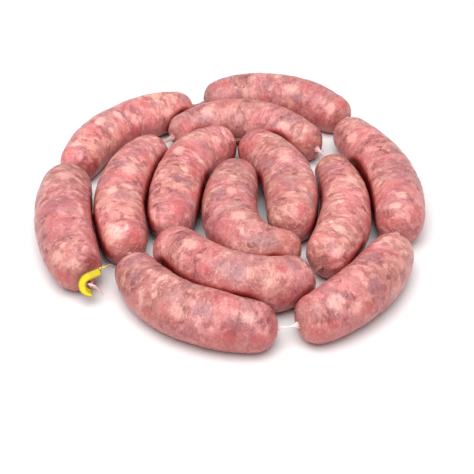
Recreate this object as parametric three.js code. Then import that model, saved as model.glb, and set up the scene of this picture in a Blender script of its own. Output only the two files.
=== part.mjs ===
// A string of fresh sausage links in natural casing, laid flat in a coil.
// Millimetres. +Z is up, +Y points away from the shown side, and z = 0 is the table.
// The string starts at its clip, on the left, runs once round the outside and then turns inwards.
import * as THREE from 'three';

// Where the casing is twisted shut, from the clipped outer end to the knotted inner end.
// reach is the bare casing between the middle of the twist and the tip of the link beside it.
const TWISTS = [
  { x: -92.7, y: -62.6, reach: 3.0 },
  { x: -113.5, y: 51, reach: 2.0 },
  { x: -29, y: 139, reach: 4.2 },
  { x: 85, y: 115, reach: 4.4 },
  { x: 102, y: -19.6, reach: 2.0 },
  { x: 30, y: -100, reach: 4.8 },
  { x: -66.8, y: -38, reach: 2.0 },
  { x: -52, y: 92, reach: 6.0 },
  { x: 62.6, y: 74.4, reach: 7.4 },
  { x: 49, y: -51, reach: 3.2 },
  { x: -47, y: -17, reach: 2.0 },
  { x: 2, y: 93, reach: 4.4 },
  { x: 33, y: -18, reach: 2.0 },
  { x: 4, y: 58, reach: 2.5 },
];

// The links between those twists. bow is how far the centre line stands off the straight line
// between its twists at a third and at two thirds of the way, slide moves both places along it,
// and taper makes the link fatter towards the inner end of the string.
const LINKS = [
  { radius: 19.1, bow: [8.1, 8.4], slide: 0, taper: 0.4 },
  { radius: 16.4, bow: [17.2, 15], slide: -1, taper: 0 },
  { radius: 17.0, bow: [19, 18], slide: 0, taper: -0.3 },
  { radius: 18.0, bow: [-0.5, 9.8], slide: -16, taper: 1 },
  { radius: 17.6, bow: [12.6, 13], slide: -1, taper: 0.4 },
  { radius: 17.4, bow: [18.7, 20.8], slide: 0, taper: -0.4 },
  { radius: 17.6, bow: [15.8, 15.8], slide: 0, taper: -0.6 },
  { radius: 16.6, bow: [28.1, 26], slide: -2, taper: 0.3 },
  { radius: 17.2, bow: [13.4, 15.4], slide: 0, taper: 1.5 },
  { radius: 18.6, bow: [27, 23.4], slide: -1, taper: 0 },
  { radius: 18.5, bow: [10.4, 17.7], slide: -2, taper: -0.4 },
  { radius: 18.5, bow: [15.1, 14.5], slide: 0, taper: 0.6 },
  { radius: 18.7, bow: [18, 30.6], slide: -35, taper: 0.3 },
];

// The form of every link: it narrows by the share SHOULDER over the last SHOULDER_LENGTH before
// its round ends, lies SAG flat on the table, and dimples in where its twist is.
const SHOULDER = 0.12;
const SHOULDER_LENGTH = 35;
const SAG = 1.2;
const DIMPLE_DEPTH = 1.5;
const DIMPLE_RADIUS = 6;
const PRESSED_GAP = 0.3;

// The unevenness of a hand-filled link: the size of its waves as a share of the radius, how much of
// it the slanting wave takes, and the length along the link in which each wave turns by one radian.
const WAVES = { size: 0.014, slantingShare: 0.7, broadLength: 14, slantingLength: 9, phaseStep: 2.4 };

// The bare twisted casing: its radius at the links, the share left at its waist, and its pleats.
const TWIST_RADIUS = 2.1;
const TWIST_WAIST = 0.6;
const TWIST_GAP = 0.5;
const PLEATS = 3;
const PLEAT_DEPTH = 0.1;

// The knot at the inner end, with its radius as shares of the twist's.
const KNOT = { length: 5, start: 0.85, end: 0.35, bulge: 0.35 };

// The clip at the outer end: a bent band, open at the lower right, with one straight arm. bend is
// the radius of its middle line, lowEnd the angle in degrees at which it stops, and standOff and
// aside place its hole before the tip of the first link.
const CLIP = { bend: 5.3, arm: 8.5, width: 5.2, thickness: 4.4, lowEnd: 256, standOff: 5.3, aside: 2.7 };
const CLIP_FACING = new THREE.Vector3(0.20, -0.86, 0.42).normalize();
// How far the arm rises to the right, in degrees.
const CLIP_SLANT = 15;
const CLIP_SQUARENESS = 0.7;
// Distance from the arm's free end and the share of the full section there.
const ARM_END = [[0, 0.45], [0.35, 0.75], [1.1, 0.95], [2.4, 1]];

// The gathered casing that comes out through the clip, as steps from place to place.
const SHORT_TAIL = {
  thick: 1.15,
  thin: 0.45,
  thinning: [0.45, 0.8],
  gathered: 0.8,
  clearOfClip: 0.5,
  bent: { forward: 2.3, right: 2.6, up: -0.9 },
  point: { forward: 0, right: 3.9, up: -6 },
};

// The long strand, which the clip holds behind its arm, and the places that it leads to.
const LONG_TAIL = {
  radius: 0.75,
  start: { right: 8, up: 5.6 },
  beside: new THREE.Vector3(-79.8, -39, 9.2),
  end: new THREE.Vector3(-78.9, -36.8, 7),
};

// How finely the faces are cut.
const LINK_SIDES = 20;
const CAP_ANGLES = [14, 32, 51, 70];
const BODY_STEP = 7.2;
const SPINE_STEPS = 30;
const HALVINGS = 18;
const TWIST_CUT = { sides: 8, steps: 4 };
const CLIP_SIDES = 10;
const CLIP_TURN_STEPS = 9;
const SHORT_TAIL_CUT = { sides: 8, steps: 12 };
const LONG_TAIL_CUT = { sides: 6, steps: 10 };

const UP = new THREE.Vector3(0, 0, 1);
const radians = THREE.MathUtils.degToRad;

const meat = new THREE.MeshStandardMaterial({ color: 0xdb9088, roughness: 0.42, metalness: 0 });
const casing = new THREE.MeshStandardMaterial({ color: 0xe6c0b0, roughness: 0.4, metalness: 0 });
const plastic = new THREE.MeshStandardMaterial({ color: 0xf6e41c, roughness: 0.35, metalness: 0 });

// A closed body from a pole, rings of points in order, and a second pole.
function ringBody(firstPole, rings, lastPole) {
  const sides = rings[0].length;
  const points = [firstPole, ...rings.flat(), lastPole];
  const last = points.length - 1;
  const faces = [];
  for (let side = 0; side < sides; side++) {
    const next = (side + 1) % sides;
    faces.push([0, 1 + next, 1 + side]);
    for (let ring = 0; ring + 1 < rings.length; ring++) {
      const near = 1 + ring * sides;
      const far = near + sides;
      faces.push([near + side, near + next, far + side]);
      faces.push([near + next, far + next, far + side]);
    }
    const end = last - sides;
    faces.push([last, end + side, end + next]);
  }
  const geometry = new THREE.BufferGeometry();
  geometry.setAttribute('position', new THREE.Float32BufferAttribute(
    points.flatMap((point) => point.toArray()), 3));
  const facesOut = volume(points, faces) > 0;
  geometry.setIndex(facesOut ? faces.flat() : faces.flatMap(([a, b, c]) => [a, c, b]));
  geometry.computeVertexNormals();
  return geometry;
}

function volume(points, faces) {
  let six = 0;
  for (const [a, b, c] of faces) {
    six += points[a].dot(new THREE.Vector3().crossVectors(points[b], points[c]));
  }
  return six / 6;
}

// The centre line of a link, from twist to twist, through its two bowed places.
function centreLine(from, to, { bow, slide }) {
  const start = new THREE.Vector3(from.x, from.y, 0);
  const end = new THREE.Vector3(to.x, to.y, 0);
  const span = end.clone().sub(start);
  const along = span.clone().normalize();
  const aside = new THREE.Vector3(-along.y, along.x, 0);
  const place = (share, offset) => start.clone()
    .addScaledVector(span, share).addScaledVector(aside, offset).addScaledVector(along, slide);
  const first = place(1 / 3, bow[0]);
  const second = place(2 / 3, bow[1]);
  // Handles of the cubic curve that passes through both places.
  const handle = (near, nearPlace, farPlace, far) => near.clone().multiplyScalar(-5 / 6)
    .addScaledVector(nearPlace, 3).addScaledVector(farPlace, -3 / 2).addScaledVector(far, 1 / 3);
  const curve = new THREE.CubicBezierCurve3(
    start, handle(start, first, second, end), handle(end, second, first, start), end);
  curve.arcLengthDivisions = 400;
  return curve;
}

// A link's centre line and its radius at each distance along it.
function measuredLink(form, index) {
  const from = TWISTS[index];
  const to = TWISTS[index + 1];
  const curve = centreLine(from, to, form);
  const length = curve.getLength();
  const capRadius = form.radius * (1 - SHOULDER);
  const firstCap = from.reach + capRadius - form.taper;
  const lastCap = length - to.reach - capRadius - form.taper;
  const inside = (distance) => THREE.MathUtils.clamp(distance, firstCap, lastCap);
  const radiusAt = (distance) => {
    const place = inside(distance);
    const fromCap = Math.min(place - firstCap, lastCap - place);
    const narrowing = SHOULDER * Math.max(0, 1 - fromCap / SHOULDER_LENGTH) ** 2;
    const share = (place - firstCap) / (lastCap - firstCap);
    return form.radius * (1 - narrowing) + form.taper * (2 * share - 1);
  };
  const centreAt = (distance) => {
    const point = curve.getPointAt(THREE.MathUtils.clamp(distance / length, 0, 1));
    point.z = radiusAt(distance) - SAG;
    return point;
  };
  const alongAt = (distance) => curve.getTangentAt(THREE.MathUtils.clamp(distance / length, 0, 1));
  const spine = [];
  for (let step = 0; step <= SPINE_STEPS; step++) {
    const distance = THREE.MathUtils.lerp(firstCap, lastCap, step / SPINE_STEPS);
    spine.push({ point: centreAt(distance), radius: radiusAt(distance) });
  }
  return { index, firstCap, lastCap, radiusAt, centreAt, alongAt, spine };
}

// How far a point lies outside a rounded body that is given by balls along a line.
function outside(point, spine) {
  let least = Infinity;
  const chord = new THREE.Vector3();
  const reach = new THREE.Vector3();
  for (let step = 0; step + 1 < spine.length; step++) {
    const near = spine[step];
    const far = spine[step + 1];
    chord.subVectors(far.point, near.point);
    reach.subVectors(point, near.point);
    const share = THREE.MathUtils.clamp(reach.dot(chord) / chord.lengthSq(), 0, 1);
    const radius = THREE.MathUtils.lerp(near.radius, far.radius, share);
    least = Math.min(least, reach.addScaledVector(chord, -share).length() - radius);
  }
  return least;
}

// Slow waves that leave each link a little uneven, as hand-filled casing is.
function unevenness(angle, distance, index) {
  const phase = WAVES.phaseStep * index;
  const broad = Math.sin(2 * angle + phase) * Math.cos(distance / WAVES.broadLength + phase);
  const slanting = Math.sin(angle - distance / WAVES.slantingLength + 2 * phase);
  return 1 + WAVES.size * (broad + WAVES.slantingShare * slanting);
}

// A point of a link, drawn back towards its centre until it clears the links and twists beside it.
function pressed(point, centre, link, neighbours, necks) {
  const clear = (place) => {
    const own = outside(place, link.spine);
    return neighbours.every((other) => own <= outside(place, other.spine) - PRESSED_GAP)
      && necks.every((neck) => outside(place, neck) >= PRESSED_GAP);
  };
  if (clear(point)) {
    return point;
  }
  let inner = 0;
  let outer = 1;
  for (let halving = 0; halving < HALVINGS; halving++) {
    const middle = (inner + outer) / 2;
    if (clear(centre.clone().lerp(point, middle))) {
      inner = middle;
    } else {
      outer = middle;
    }
  }
  return centre.clone().lerp(point, inner);
}

// Where the casing closes over the end of a link, with the small dimple round its twist.
function linkTip(link, atStart) {
  const cap = atStart ? link.firstCap : link.lastCap;
  const sign = atStart ? -1 : 1;
  const distance = cap + sign * (link.radiusAt(cap) - DIMPLE_DEPTH);
  return { tip: link.centreAt(distance), outwards: link.alongAt(distance).multiplyScalar(sign) };
}

function linkGeometry(link, neighbours, necks) {
  const ringAt = (distance, radius, ballCentre) => {
    const centre = link.centreAt(distance);
    const aside = new THREE.Vector3().crossVectors(UP, link.alongAt(distance));
    const ring = [];
    for (let side = 0; side < LINK_SIDES; side++) {
      const angle = -Math.PI / 2 + 2 * Math.PI * side / LINK_SIDES;
      const reach = radius * unevenness(angle, distance, link.index);
      const point = centre.clone()
        .addScaledVector(aside, reach * Math.cos(angle)).addScaledVector(UP, reach * Math.sin(angle));
      point.z = Math.max(point.z, 0);
      ring.push(pressed(point, ballCentre, link, neighbours, necks));
    }
    return ring;
  };
  const capRing = (cap, sign, degrees) => {
    const ball = link.radiusAt(cap);
    const radius = ball * Math.sin(radians(degrees));
    const dimple = DIMPLE_DEPTH * Math.exp(-((radius / DIMPLE_RADIUS) ** 2));
    return ringAt(cap + sign * (ball * Math.cos(radians(degrees)) - dimple), radius, link.centreAt(cap));
  };
  const rings = CAP_ANGLES.map((degrees) => capRing(link.firstCap, -1, degrees));
  const steps = Math.round((link.lastCap - link.firstCap) / BODY_STEP);
  for (let step = 0; step <= steps; step++) {
    const distance = THREE.MathUtils.lerp(link.firstCap, link.lastCap, step / steps);
    rings.push(ringAt(distance, link.radiusAt(distance), link.centreAt(distance)));
  }
  rings.push(...CAP_ANGLES.toReversed().map((degrees) => capRing(link.lastCap, 1, degrees)));
  return ringBody(linkTip(link, true).tip, rings, linkTip(link, false).tip);
}

// Casing turned round on itself: a bare neck whose pleats wind along the path.
function twistedGeometry(path, radiusAt, { sides, steps }) {
  const frames = path.computeFrenetFrames(steps, false);
  const rings = [];
  for (let step = 0; step <= steps; step++) {
    const share = step / steps;
    const centre = path.getPointAt(share);
    const ring = [];
    for (let side = 0; side < sides; side++) {
      const angle = 2 * Math.PI * side / sides;
      const pleat = PLEAT_DEPTH * Math.cos(PLEATS * angle + 2 * Math.PI * share);
      const reach = radiusAt(share) * (1 + pleat);
      ring.push(centre.clone()
        .addScaledVector(frames.normals[step], reach * Math.cos(angle))
        .addScaledVector(frames.binormals[step], reach * Math.sin(angle)));
    }
    rings.push(ring);
  }
  return ringBody(path.getPointAt(0), rings, path.getPointAt(1));
}

// The bare neck between the tips of two links.
function neckPath(before, after) {
  const first = linkTip(before, false);
  const second = linkTip(after, true);
  const start = first.tip.clone().addScaledVector(first.outwards, TWIST_GAP);
  const end = second.tip.clone().addScaledVector(second.outwards, TWIST_GAP);
  const handle = start.distanceTo(end) / 3;
  return new THREE.CubicBezierCurve3(
    start,
    start.clone().addScaledVector(first.outwards, handle),
    end.clone().addScaledVector(second.outwards, handle),
    end);
}

// The room that a neck takes between the links, as balls along it.
function neckSpine(path) {
  const length = path.getLength();
  const inset = Math.min(TWIST_RADIUS / length, 0.45);
  return [0, 0.5, 1].map((share) => ({
    point: path.getPointAt(THREE.MathUtils.lerp(inset, 1 - inset, share)),
    radius: TWIST_RADIUS,
  }));
}

const neckRadius = (share) => TWIST_RADIUS * (TWIST_WAIST + (1 - TWIST_WAIST) * (2 * share - 1) ** 2);

// The tied end inside the coil: the last of the casing, drawn to a small knot.
function knotPath(link) {
  const { tip, outwards } = linkTip(link, false);
  const start = tip.clone().addScaledVector(outwards, TWIST_GAP);
  return new THREE.LineCurve3(start, start.clone().addScaledVector(outwards, KNOT.length));
}

const knotRadius = (share) => TWIST_RADIUS
  * (THREE.MathUtils.lerp(KNOT.start, KNOT.end, share) + KNOT.bulge * Math.sin(Math.PI * share));

// The clip's directions across its face, level and upright and then along its arm and across it,
// and where its hole lies.
function clipPlace(firstLink) {
  const { tip, outwards } = linkTip(firstLink, true);
  const level = new THREE.Vector3().crossVectors(UP, CLIP_FACING).normalize();
  const upright = new THREE.Vector3().crossVectors(CLIP_FACING, level);
  const right = level.clone().applyAxisAngle(CLIP_FACING, radians(CLIP_SLANT));
  const up = upright.clone().applyAxisAngle(CLIP_FACING, radians(CLIP_SLANT));
  const hole = tip.clone().addScaledVector(outwards, CLIP.standOff).addScaledVector(level, CLIP.aside);
  return { level, upright, right, up, hole };
}

function clipGeometry({ right, up, hole }) {
  const spots = [];
  const spot = (a, b, normalA, normalB, scale) => spots.push({ a, b, normalA, normalB, scale });
  // The straight arm, from its free end to the bend. The first spots round its end off.
  for (const [back, scale] of ARM_END) {
    spot(CLIP.arm - back, CLIP.bend, 0, 1, scale);
  }
  for (let step = 0; step <= CLIP_TURN_STEPS; step++) {
    const angle = radians(THREE.MathUtils.lerp(90, CLIP.lowEnd, step / CLIP_TURN_STEPS));
    const scale = step === CLIP_TURN_STEPS ? ARM_END[0][1] : 1;
    const a = Math.cos(angle);
    const b = Math.sin(angle);
    spot(CLIP.bend * a, CLIP.bend * b, a, b, scale);
  }
  const rings = spots.map(({ a, b, normalA, normalB, scale }) => {
    const centre = hole.clone().addScaledVector(right, a).addScaledVector(up, b);
    const across = right.clone().multiplyScalar(normalA).addScaledVector(up, normalB);
    const ring = [];
    for (let side = 0; side < CLIP_SIDES; side++) {
      const angle = 2 * Math.PI * (side + 0.5) / CLIP_SIDES;
      const squared = (value) => Math.sign(value) * Math.abs(value) ** CLIP_SQUARENESS;
      ring.push(centre.clone()
        .addScaledVector(across, scale * CLIP.width / 2 * squared(Math.cos(angle)))
        .addScaledVector(CLIP_FACING, scale * CLIP.thickness / 2 * squared(Math.sin(angle))));
    }
    return ring;
  });
  const middle = (ring) => ring.reduce((sum, point) => sum.add(point), new THREE.Vector3())
    .divideScalar(ring.length);
  return ringBody(middle(rings[0]), rings, middle(rings.at(-1)));
}

// The gathered end of the casing, through the clip's hole and out to a thin point.
function shortTailPath(firstLink, { level, upright, hole }) {
  const { tip, outwards } = linkTip(firstLink, true);
  const start = tip.clone().addScaledVector(outwards, TWIST_GAP);
  const gathered = start.clone().addScaledVector(outwards, SHORT_TAIL.gathered);
  const halfWay = CLIP.thickness / 2 + SHORT_TAIL.clearOfClip;
  const back = hole.clone().addScaledVector(CLIP_FACING, -halfWay);
  const front = hole.clone().addScaledVector(CLIP_FACING, halfWay);
  const onwards = (from, step) => from.clone().addScaledVector(CLIP_FACING, step.forward)
    .addScaledVector(level, step.right).addScaledVector(upright, step.up);
  const bent = onwards(front, SHORT_TAIL.bent);
  return new THREE.CatmullRomCurve3([start, gathered, back, front, bent, onwards(bent, SHORT_TAIL.point)]);
}

function shortTailRadius(share) {
  const { thick, thin, thinning } = SHORT_TAIL;
  return THREE.MathUtils.lerp(thick, thin, THREE.MathUtils.smoothstep(share, ...thinning));
}

// The long strand, from behind the clip's arm down to the table beside the next round of links.
function longTailPath({ right, up, hole }) {
  const behindArm = CLIP.thickness / 2 + LONG_TAIL.radius + TWIST_GAP;
  const start = hole.clone().addScaledVector(CLIP_FACING, -behindArm)
    .addScaledVector(right, LONG_TAIL.start.right).addScaledVector(up, LONG_TAIL.start.up);
  return new THREE.CatmullRomCurve3([start, LONG_TAIL.beside, LONG_TAIL.end]);
}

function named(name, geometry, material) {
  const mesh = new THREE.Mesh(geometry, material);
  mesh.name = name;
  return mesh;
}

const numbered = (word, index) => `${word}_${String(index + 1).padStart(2, '0')}`;

const links = LINKS.map(measuredLink);
const neckPaths = links.slice(1).map((link, index) => neckPath(links[index], link));
const neckSpines = [...neckPaths, knotPath(links.at(-1))].map(neckSpine);
const clip = clipPlace(links[0]);

const coil = new THREE.Group();
links.forEach((link, index) => {
  const neighbours = links.filter((other) => other !== link);
  coil.add(named(numbered('link', index), linkGeometry(link, neighbours, neckSpines), meat));
});
neckPaths.forEach((path, index) => {
  coil.add(named(numbered('twist', index), twistedGeometry(path, neckRadius, TWIST_CUT), casing));
});
coil.add(named('end_knot', twistedGeometry(knotPath(links.at(-1)), knotRadius, TWIST_CUT), casing));
coil.add(named('clip', clipGeometry(clip), plastic));
const shortTail = twistedGeometry(shortTailPath(links[0], clip), shortTailRadius, SHORT_TAIL_CUT);
coil.add(named('tail_short', shortTail, casing));
const longTail = twistedGeometry(longTailPath(clip), () => LONG_TAIL.radius, LONG_TAIL_CUT);
coil.add(named('tail_long', longTail, casing));

// The origin is the middle of the string on the table.
const box = new THREE.Box3().setFromObject(coil);
const middle = box.getCenter(new THREE.Vector3());
coil.position.set(-middle.x, -middle.y, 0);

const part = new THREE.Group();
part.add(coil);

export default part;
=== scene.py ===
"""A string of fresh sausage links in natural casing, lying in a flat coil on a pale table."""
import math

import bmesh
import bpy
import numpy as np
from mathutils import Matrix, Vector


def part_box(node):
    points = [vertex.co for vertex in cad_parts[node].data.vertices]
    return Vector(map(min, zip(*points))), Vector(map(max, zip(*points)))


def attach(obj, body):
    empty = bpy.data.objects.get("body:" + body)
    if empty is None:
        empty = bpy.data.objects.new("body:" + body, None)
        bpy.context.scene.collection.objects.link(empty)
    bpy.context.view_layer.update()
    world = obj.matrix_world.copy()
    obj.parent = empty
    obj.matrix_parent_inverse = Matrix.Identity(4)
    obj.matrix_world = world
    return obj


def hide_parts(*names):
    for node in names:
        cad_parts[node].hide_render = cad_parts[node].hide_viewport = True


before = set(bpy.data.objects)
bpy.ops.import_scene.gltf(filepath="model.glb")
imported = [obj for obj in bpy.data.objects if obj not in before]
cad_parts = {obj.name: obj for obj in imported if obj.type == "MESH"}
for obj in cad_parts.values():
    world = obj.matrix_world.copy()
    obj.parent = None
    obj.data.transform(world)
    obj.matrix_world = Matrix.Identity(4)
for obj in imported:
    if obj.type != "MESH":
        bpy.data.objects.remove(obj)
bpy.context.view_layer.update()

MM = 0.001
UP = Vector((0, 0, 1))

# The links and twists in their order along the string, from the clip inwards.
LINK_NAMES = sorted(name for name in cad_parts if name.startswith("link_"))
TWIST_NAMES = sorted(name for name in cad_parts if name.startswith("twist_"))

# How finely a link is cut, and the shape that every straight link starts from, in radii.
LINK_SIDES = 128
CAP_RINGS = 26
BODY_CUTS = 130
BODY_IN_RADII = 5.0
# Points that lie farther along than the first cap's rim by this much belong to the second cap.
RIM_MARGIN_IN_RADII = 0.001

# How a solid is smoothed before a casing is laid on it: the widest fold between two triangles, and
# the worst shape, that still make one quad, and the rounds of subdivision.
QUAD_FOLD = math.radians(40)
QUAD_SHAPE = math.radians(55)
SMOOTHING_LEVELS = 3
# Middles of rings that lie closer together than this count as one.
SHORTEST_STEP = 0.05 * MM
# The casing stands this far outside the smoothed solid that it is laid on.
CASING_OFFSET = 0.1 * MM
# Smoothing draws a solid in by about this much, except where it is pressed flat.
SMOOTHING_LOSS = 0.22 * MM
# A link's radius is the distance from its middle line that this percentage of its points stay within.
RADIUS_PERCENTILE = 80
# How far inside its tips, in radii, a link's round ends have their middles.
END_MIDDLES = 0.9

# The lumps of the filled casing: their size and their height.
LUMPS = [
    (14 * MM, 0.8 * MM),
    (5 * MM, 0.5 * MM),
    (1.9 * MM, 0.22 * MM),
]

# The folds that gather the casing round each tip: their number and depth, how far they reach, how
# close to the twist they begin, how unlike each other they are, and how far they wander, in radians,
# in three wide waves and five narrow ones round the link.
TIP_PLEATS = 15
TIP_PLEAT_DEPTH = 0.55 * MM
TIP_PLEAT_REACH = 7 * MM
TIP_PLEAT_START = 1.5 * MM
TIP_PLEAT_UNEVEN = 0.35
TIP_PLEAT_WANDER = (1.4, 0.8)
# How far round the folds are turned from one link to the next and from one end to the other.
NEXT_LINK_TURN = 1.7
OTHER_END_TURN = 2.9

# The creases inside a bend: their spacing and depth, how far they wander, in radians, in two wide
# waves and five narrow ones round the link, the length of their patches, and the hardest that a
# bend presses, as the share by which it shortens the casing.
WRINKLE_SPACING = 2.3 * MM
WRINKLE_DEPTH = 1.1 * MM
WRINKLE_WANDER = (0.9, 0.5)
WRINKLE_PATCH = 7 * MM
HARDEST_PRESSED = 0.4
# How many points a link's middle line is cut into to measure its bend, and how often it is evened.
BEND_POINTS = 60
BEND_EVENINGS = 6

# Links whose casing was nipped in while it was filled: share of the length, depth, and half width.
NIPS = {
    "link_04": (0.62, 1.4 * MM, 1.5 * MM),
}
# How far a nip wanders along the link on its way round it, and by what angle that is turned.
NIP_WANDER = 1.2 * MM
NIP_ANGLE = 0.6

# Patches of fat and lean meat that show through the casing, and of painted shade under some link ends:
# the link, the share of its length from the clip's side, the degrees round from its top towards the
# left of the string, its length along the link and its width across it in millimetres, and the kind of
# meat or shade.
PATCHES = [
    (1, 0.75, -5, 10, 9, "pale"), (1, 0.50, 5, 9, 17, "mauve"), (1, 0.43, -36, 10, 4, "pale"),
    (1, 0.12, 45, 9, 8, "pale"), (1, 0.03, 75, 9, 12, "red"), (1, 0.03, -48, 9, 14, "painted_shade"),
    (1, 0.09, 15, 7, 6, "red"),
    (2, 0.46, -18, 4, 10, "pale"), (2, 0.54, -50, 5, 8, "pale"), (2, 0.78, -56, 8, 6, "pale"),
    (2, 0.34, -4, 8, 6, "pale"), (2, 0.12, 11, 6, 6, "pale"), (2, 0.72, -30, 10, 5, "mauve"),
    (2, 0.08, -6, 6, 8, "mauve"), (2, 0.52, -72, 6, 8, "red"), (2, 0.07, 53, 9, 7, "red"),
    (2, 0.93, -20, 8, 12, "mauve"), (2, 0.04, -96, 12, 24, "painted_shade"),
    (3, 0.14, -15, 8, 8, "red"), (3, 0.20, -58, 8, 6, "mauve"), (3, 0.60, -30, 9, 7, "pale"),
    (3, 0.43, -21, 7, 9, "mauve"), (3, 0.67, -50, 8, 6, "mauve"), (3, 0.92, -40, 8, 8, "pale"),
    (3, 0.97, 5, 7, 9, "red"),
    (4, 0.02, -20, 5, 8, "pale"), (4, 0.25, -42, 9, 8, "pale"), (4, 0.84, 0, 5, 7, "pale"),
    (4, 0.92, -12, 4, 9, "pale"), (4, 0.88, -62, 5, 6, "pale"), (4, 0.91, 46, 8, 8, "red"),
    (4, 0.97, -60, 6, 9, "red"), (4, 0.50, 20, 10, 8, "mauve"),
    (5, 0.79, 25, 9, 9, "pale"), (5, 0.56, 39, 8, 7, "mauve"), (5, 0.41, -10, 8, 9, "mauve"),
    (5, 0.94, 75, 8, 8, "red"), (5, 0.86, 67, 6, 6, "red"), (5, 0.64, 72, 7, 6, "red"),
    (5, 0.16, -11, 8, 6, "pale"), (5, 0.71, 55, 7, 6, "pale"),
    (6, 0.86, 24, 9, 8, "mauve"), (6, 0.93, 8, 3, 14, "pale"), (6, 0.76, 30, 9, 8, "mauve"),
    (6, 0.36, 32, 9, 8, "mauve"), (6, 0.20, 46, 8, 7, "mauve"), (6, 0.47, 50, 9, 7, "pale"),
    (6, 0.15, 28, 8, 8, "pale"), (6, 0.60, 81, 9, 7, "red"), (6, 0.09, 75, 8, 7, "red"),
    (6, 0.23, 81, 8, 7, "red"),
    (7, 0.54, -18, 10, 9, "pale"), (7, 0.35, 12, 7, 6, "pale"), (7, 0.38, -22, 5, 7, "pale"),
    (7, 0.08, 26, 9, 9, "pale"), (7, 0.45, 32, 8, 7, "mauve"), (7, 0.30, -5, 7, 9, "mauve"),
    (7, 0.70, -8, 8, 8, "mauve"), (7, 0.04, -30, 8, 8, "red"), (7, 0.02, 128, 12, 26, "painted_shade"),
    (8, 0.24, -18, 9, 8, "pale"), (8, 0.22, -50, 9, 7, "mauve"), (8, 0.80, -2, 9, 7, "mauve"),
    (8, 0.06, -28, 8, 9, "red"), (8, 0.79, -36, 8, 6, "pale"), (8, 0.97, -28, 7, 9, "red"),
    (8, 0.99, 142, 16, 30, "painted_shade"),
    (9, 0.22, -25, 8, 9, "mauve"), (9, 0.39, 15, 9, 8, "pale"), (9, 0.94, 38, 8, 7, "pale"),
    (9, 0.97, 70, 5, 6, "pale"), (9, 0.82, 5, 4, 11, "pale"), (9, 0.66, 62, 8, 7, "red"),
    (9, 0.99, 121, 10, 20, "painted_shade"),
    (10, 0.71, 7, 10, 8, "pale"), (10, 0.21, 15, 6, 6, "red"), (10, 0.55, 41, 7, 6, "red"),
    (10, 0.12, 11, 7, 9, "mauve"), (10, 0.20, 95, 12, 8, "red"), (10, 0.45, 20, 16, 12, "mauve"),
    (11, 0.79, -34, 8, 7, "pale"), (11, 0.54, 12, 8, 7, "pale"), (11, 0.05, 50, 8, 8, "pale"),
    (11, 0.39, -38, 10, 8, "red"), (11, 0.29, -7, 6, 8, "mauve"), (11, 0.26, -31, 6, 7, "mauve"),
    (11, 0.09, -26, 13, 12, "red"),
    (12, 0.72, -10, 9, 9, "mauve"), (12, 0.49, -40, 9, 8, "mauve"), (12, 0.20, -51, 8, 8, "red"),
    (12, 0.92, 27, 9, 8, "red"), (12, 0.51, -5, 8, 7, "pale"),
    (13, 0.55, 22, 9, 9, "mauve"), (13, 0.56, -3, 8, 6, "pale"), (13, 0.35, 2, 8, 8, "pale"),
    (13, 0.17, 26, 9, 9, "mauve"),
]
# A patch is at its full strength up to the first of these shares of its half size, and gone at the
# second.
PATCH_FULL = 2 / 3
PATCH_GONE = 2

# Colours are given as they are seen on screen, from 0 to 255.
# The meat from lean to fat, with the share of fat at which each colour is met.
MEAT_COLOURS = [
    (0.22, (138, 79, 80)),
    (0.38, (173, 110, 107)),
    (0.50, (191, 129, 125)),
    (0.62, (204, 145, 139)),
    (0.80, (228, 177, 170)),
]
WARM_TINT = (255, 253, 244)
COOL_TINT = (255, 236, 242)
LEAN_STRETCH = (162, 112, 118)
ROSY_STRETCH = (206, 106, 106)
# The kinds of patches, with the colour of each and how much of the meat under it it hides.
PATCH_COLOURS = {
    # Pale fat, which in places also stands in for glints: partly a painted highlight.
    "pale": ((238, 178, 168), 0.65),
    "red": ((188, 88, 89), 0.7),
    "mauve": ((150, 98, 105), 0.6),
    # Painted shade under some link ends.
    "painted_shade": ((130, 42, 44), 0.75),
}
FAT_CRUMB = (238, 180, 172)
LEAN_CRUMB = (138, 70, 70)
# Partly painted highlight: glints along the strings.
FAT_STRING_AND_GLINT = (240, 188, 180)
GATHERED_CASING = (200, 144, 138)
# Painted shade, low on the links and between them: at the foot, at a crevice's edge and at its bottom.
LOW_SHADE_MEAT = (190, 84, 82)
CREVICE_SHADE_EDGE = (170, 66, 62)
CREVICE_SHADE_BOTTOM = (86, 7, 6)
# The bare casing from the bottom of its folds to their tops, darker at the bottoms as painted shade,
# and what colours it.
CASING_COLOURS = [
    (0.15, (180, 120, 116)),
    (0.5, (212, 166, 160)),
    (0.9, (236, 208, 202)),
]
STAINED_CASING = (198, 132, 128)
MEAT_IN_CASING = (196, 130, 126)
WHITE_CASING = (244, 236, 232)
CASING_SHADE_RED = (118, 34, 32)
YELLOW_CASING = (240, 224, 130)
# The clip's plastic, and the painted shade on its arm, at its edges and behind its front face.
YELLOW = (230, 212, 24)
GREASY_YELLOW = (214, 190, 22)
ARM_SHADE_YELLOW = (202, 186, 24)
EDGE_SHADE_YELLOW = (150, 112, 14)
SHADED_YELLOW = (126, 84, 12)

# The meat is smeared across each link: how its pattern is pressed together along the link and drawn
# out across it, and how far off in the pattern the next link's meat is taken.
MEAT_SMEARED = (1.35, 0.78, 0.78)
NEXT_MEAT = (0.31, 0.17, 0.23)

# How light the meat of some links is, beside the others.
LINK_TONES = {
    "link_01": 0.96, "link_02": 1.2, "link_04": 1.05, "link_06": 0.92, "link_07": 1.14, "link_09": 1.07,
    "link_10": 1.04, "link_11": 1.12, "link_13": 0.92,
}

# How near another link has to be for the casing between them to get painted shade, dark red: at the
# height at which the links meet, how much farther that reaches down at the table, and how steeply
# it grows on the way down.
CREVICE_REACH = 3.4 * MM
CREVICE_DEEPER = 15 * MM
CREVICE_HEIGHT = 20 * MM
CREVICE_GROWTH = 1.5

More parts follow.
